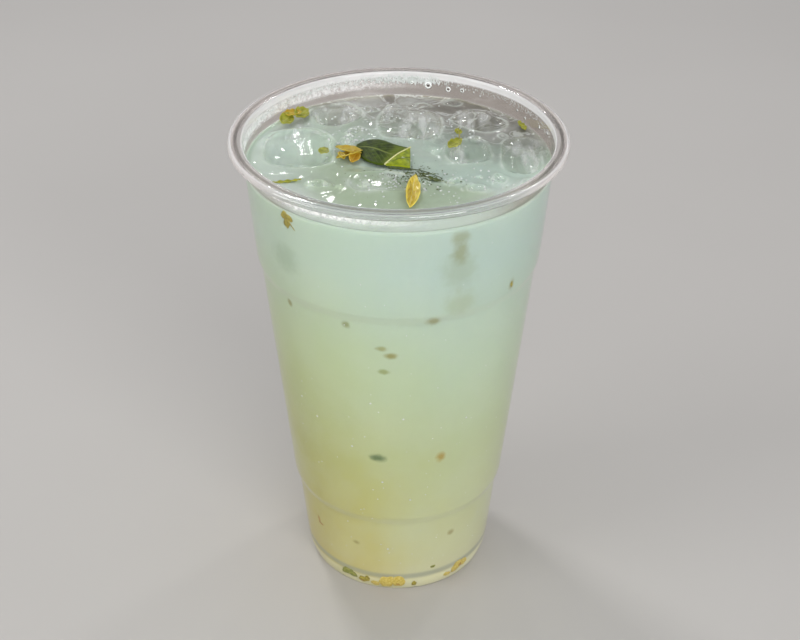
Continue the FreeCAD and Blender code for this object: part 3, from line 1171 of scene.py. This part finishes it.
# --- Things on the wall ----------------------------------------------------------
def mist_band(angle_deg):
    """Height of the band of fine drops on the inner wall, above the drink's level."""
    return LEVEL + (4.3 + 1.3 * math.cos(math.radians(angle_deg - 176))) * MM


def wall_axes(angle_deg):
    """Directions at the wall: along it to the right, up, and in towards the axis."""
    angle = math.radians(angle_deg)
    along = Vector((math.cos(angle), math.sin(angle), 0))
    inwards = Vector((-math.sin(angle), math.cos(angle), 0))
    return along, Vector((0, 0, 1)), inwards


def wall_drop(angle_deg, height, wide, tall, thick):
    centre = on_wall(angle_deg, height)
    return ball(centre, (wide * MM, tall * MM, thick * MM), wall_axes(angle_deg), sides=8, rings=6)


def make_mist(material):
    """Fine drops in a band round the back of the inner wall, largest at the back."""
    shapes = []
    for _ in range(2300):
        angle = random.uniform(-196, -88) if random.random() < 0.85 else random.uniform(-262, -196)
        height = random.gauss(mist_band(angle), 0.62 * MM)
        grow = 0.55 + 0.85 * math.exp(-((angle + 184) / 15) ** 2)
        wide = random.uniform(0.09, 0.20) * grow
        if LEVEL + 1.2 * MM < height < RIM - 1.0 * MM:
            shapes.append(wall_drop(angle, height, wide, wide * random.uniform(1.0, 2.8), wide * 0.6))
    finished(joined("mist_drops", shapes), material, "clear_plastic")


# Larger drops on the inner wall: angle, height above the level, half width and height.
DROPS = [
    (168.2, 4.0, 1.25, 1.35), (159.8, 3.5, 0.95, 1.0), (153.8, 3.9, 0.8, 0.85), (148.5, 4.2, 0.3, 0.6),
    (145.6, 3.6, 0.28, 0.5), (126.1, 3.6, 0.42, 0.42), (120.7, 2.6, 0.5, 0.5), (109.9, 3.2, 0.55, 0.55),
    (101.7, 4.1, 0.5, 0.5), (-118.0, 5.6, 0.3, 0.3), (-152.0, 6.4, 0.35, 0.3), (174.8, 4.6, 0.5, 0.7),
]


def make_drops(water, pearl, dark):
    """Each drop is a clear cap over a painted highlight ring and a dark painted shade in its middle."""
    caps = []
    rings = []
    painted_shades = []
    for angle, lift, wide, tall in DROPS:
        centre = on_wall(angle, LEVEL + lift * MM)
        axes = wall_axes(angle)
        caps.append(ball(centre, (wide * MM, tall * MM, wide * 0.55 * MM), axes, sides=24, rings=14))
        # A painted highlight ring and a dark painted shade in the middle stand in for the light the drop
        # bends.
        rings.append(ring_shape(centre, wide * 0.78 * MM, wide * 0.2 * MM, axes))
        shade_place = centre + axes[2] * wide * 0.3 * MM + axes[1] * wide * 0.1 * MM
        painted_shades.append(ball(shade_place, (wide * 0.32 * MM, wide * 0.32 * MM, wide * 0.2 * MM), axes))
    finished(joined("wall_drops", caps), water, "clear_plastic")
    finished(joined("wall_drop_painted_highlights", rings), pearl, "clear_plastic")
    finished(joined("wall_drop_painted_shades", painted_shades), dark, "clear_plastic")


def ring_shape(centre, radius, thick, axes, sides=28, around=8):
    """A round ring that stands on the plane of the first two axes."""
    vertices = []
    for k in range(sides):
        angle = 2 * math.pi * k / sides
        outwards = axes[0] * math.cos(angle) + axes[1] * math.sin(angle)
        for j in range(around):
            turn = 2 * math.pi * j / around
            place = centre + outwards * (radius + thick * math.cos(turn))
            vertices.append(place + axes[2] * thick * math.sin(turn))
    faces = []
    for k in range(sides):
        for j in range(around):
            low, high = k * around, (k + 1) % sides * around
            after = (j + 1) % around
            faces.append([low + j, high + j, high + after, low + after])
    return vertices, faces


def against_wall(angle_deg, height, tree):
    """The outermost point of the drink at an angle and a height, or the wall above it."""
    outwards = -wall_axes(angle_deg)[2]
    start = Vector((0, 0, height)) + outwards * LIP_RADIUS * 1.2
    hit = tree.ray_cast(start, -outwards)[0]
    if hit and height < LEVEL - 0.4 * MM:
        return hit
    return on_wall(angle_deg, height, -REACH)


def blot(angle_deg, height, wide, tall, turn_deg, tree, ragged=0.35):
    """A thin flake that lies against the wall, as (vertices, faces). Sizes in mm."""
    sides, rings = 26, 5
    salt = Vector((random.random(), random.random(), 0)) * 40
    turn = Matrix.Rotation(math.radians(turn_deg), 2)
    mm_per_degree = math.radians(1) * inner_radius(height) / MM
    outer = []
    for ring in range(rings + 1):
        share = ring / rings
        for k in range(1 if ring == 0 else sides):
            angle = 2 * math.pi * k / sides
            spread = 1 + ragged * noise.noise(Vector((math.cos(angle), math.sin(angle), 0)) * 1.5 + salt)
            flat = turn @ Vector((math.cos(angle) * wide, math.sin(angle) * tall)) * share * spread
            turned = angle_deg + flat.x / mm_per_degree
            face = against_wall(turned, height + flat.y * MM, tree)
            outwards = -wall_axes(turned)[2]
            outer.append(face + outwards * (0.05 + 0.13 * (1 - share * share)) * MM)
    centre_in = wall_axes(angle_deg)[2]
    inner = [point + centre_in * 0.5 * MM for point in outer]
    faces = [[0, 1 + k, 1 + (k + 1) % sides] for k in range(sides)]
    for ring in range(1, rings):
        low = 1 + (ring - 1) * sides
        for k in range(sides):
            after = (k + 1) % sides
            faces.append([low + k, low + sides + k, low + sides + after, low + after])
    count = len(outer)
    back = [[count + index for index in reversed(face)] for face in faces]
    low = 1 + (rings - 1) * sides
    edges = [(low + k, low + (k + 1) % sides) for k in range(sides)]
    rim = [[here, count + here, count + after, after] for here, after in edges]
    return outer + inner, faces + back + rim


# Flakes against the wall: angle, height, half width, half height and turn, for each
# material. Lengths are in millimetres.
WALL_FLAKES = {
    "olive": [(-44.4, 140.6, 1.5, 1.1, 40), (-42.0, 140.4, 1.6, 1.0, -35), (-43.4, 138.4, 1.2, 1.5, 10),
              (49.0, 116.5, 0.5, 1.0, 5), (10.5, 2.8, 0.8, 1.2, 0), (-22.0, 3.2, 1.6, 1.5, 30),
              (-19.0, 4.0, 0.9, 1.2, 0), (150.0, 120.0, 1.4, 0.8, 20), (-140.0, 96.0, 1.0, 0.7, -30)],
    "mint": [(-33.0, 4.6, 2.4, 1.4, 30), (-29.0, 4.0, 1.8, 1.2, -10), (22.0, 9.4, 0.9, 0.6, 0),
             (130.0, 58.0, 1.6, 0.8, -12), (165.0, 3.6, 2.4, 1.3, 0)],
    "petal": [(-6.5, 3.8, 2.8, 2.4, 30), (0.6, 4.1, 2.4, 2.5, -20), (40.0, 4.6, 2.4, 1.9, 30),
              (46.0, 5.0, 1.6, 1.5, 0), (-14.0, 2.4, 1.5, 1.2, 0), (33.0, 3.2, 1.5, 1.0, -25),
              (-120.0, 3.4, 2.6, 1.5, 0)],
    "amber": [(-53.0, 21.4, 0.5, 1.5, 8), (-51.4, 19.9, 1.2, 0.45, 0), (0.5, 3.0, 1.3, 1.0, -20),
              (42.5, 4.6, 1.1, 1.0, 15), (-22.5, 2.6, 0.9, 0.8, 0), (140.0, 24.0, 1.0, 0.7, 0)],
}


# A thin stem against the wall, by angle and height.
FLOWER_STEM = [(-43.0, 140.0), (-41.4, 138.4), (-39.6, 137.0)]


def make_wall_flakes(materials, tree):
    for finish, rows in WALL_FLAKES.items():
        shapes = [blot(a, GROUND + z * MM, wide, tall, turn, tree) for a, z, wide, tall, turn in rows]
        finished(joined(f"wall_flakes_{finish}", shapes), materials[f"{finish}_flake"], "mint")
    points = [against_wall(a, GROUND + z * MM, tree) for a, z in FLOWER_STEM]
    finished(stem("flower_stem", points, 0.26 * MM, 0.14 * MM), materials["olive_flake"], "mint")


# Bubbles that cling to the wall, by angle and height, with others strewn at random.
WALL_BUBBLES = [
    (-12, 81.5), (2.5, 76), (33, 72), (-40.5, 70), (-50, 74.5),
    (-22, 63), (-7.5, 50), (6.5, 42.5), (-5.5, 19.5),
]
STREWN_BUBBLES = 260


def make_wall_bubbles(material, tree):
    places = [(angle, height, 0.36) for angle, height in WALL_BUBBLES]
    for _ in range(STREWN_BUBBLES):
        places.append((random.uniform(-180, 180), random.uniform(10, 138), random.uniform(0.10, 0.24)))
    shapes = []
    for angle, height, size in places:
        centre = against_wall(angle, GROUND + height * MM, tree)
        half = (size * MM, size * MM, size * 0.7 * MM)
        shapes.append(ball(centre, half, wall_axes(angle)))
    finished(joined("wall_bubbles", shapes), material, "lemonade")


# --- Everything together ---------------------------------------------------------
def make_materials():
    green, leaf_light = srgb(26, 40, 3), srgb(72, 92, 10)
    return {
        "plastic": plastic_material(),
        "ice": ice_material(),
        "water": clear_material("water_drops", (1, 1, 1, 1), 1.33, 0.0, 500.0, 0.01 * MM),
        "pearl": pearl_material(),
        # Dark painted shade for the middle of the drops on the wall.
        "dark": flake_material("drop_painted_shade", srgb(40, 34, 32), srgb(66, 58, 54)),
        "lemonade": lemonade_material(),
        "mint": leaf_material(
            "mint_green", green, leaf_light, srgb(122, 134, 62), srgb(112, 130, 34), wet=0.02,
        ),
        "mint_pale": leaf_material(
            "mint_underside", srgb(112, 130, 6), srgb(166, 178, 26), srgb(84, 100, 4),
        ),
        "amber": leaf_material("amber_leaf", srgb(172, 116, 8), srgb(206, 172, 44), srgb(214, 190, 84)),
        "gold": leaf_material("golden_leaf", srgb(184, 146, 28), srgb(206, 186, 68), srgb(222, 208, 116)),
        "petal": leaf_material("yellow_petal", srgb(214, 184, 48), srgb(236, 216, 96), srgb(244, 236, 176)),
        "olive": leaf_material("olive_leaf", srgb(128, 132, 26), srgb(176, 176, 60), srgb(188, 190, 96)),
        "herb": flake_material("dark_herb", srgb(48, 60, 18), srgb(96, 110, 48)),
        "cream": flake_material("leaf_rib", srgb(206, 204, 128), srgb(226, 224, 164)),
        "olive_flake": flake_material("olive_flake", srgb(132, 122, 24), srgb(182, 168, 60)),
        "mint_flake": flake_material("green_flake", srgb(108, 116, 32), srgb(156, 158, 72)),
        "petal_flake": flake_material("yellow_flake", srgb(188, 166, 58), srgb(214, 198, 112)),
        "amber_flake": flake_material("amber_flake", srgb(150, 116, 30), srgb(188, 152, 66)),
    }


def main():
    make_camera()
    make_studio()
    make_floor()
    materials = make_materials()
    make_cup(materials["plastic"])
    nodes = sorted(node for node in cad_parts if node.startswith("ice_"))
    ice = [make_ice(node, materials["ice"]) for node in nodes]
    ice.append(make_chips(materials["ice"]))
    drink = make_lemonade(materials["lemonade"], ice)
    drink_tree = merged_tree([drink])
    trees = [drink_tree, merged_tree(ice)]
    make_mint(materials)
    make_scraps(materials)
    make_flecks(materials["herb"], trees)
    make_froth(materials["pearl"], trees)
    make_large_bubbles(materials["water"], trees)
    make_mist(materials["pearl"])
    make_drops(materials["water"], materials["pearl"], materials["dark"])
    make_wall_flakes(materials, drink_tree)
    make_wall_bubbles(materials["pearl"], drink_tree)


main()
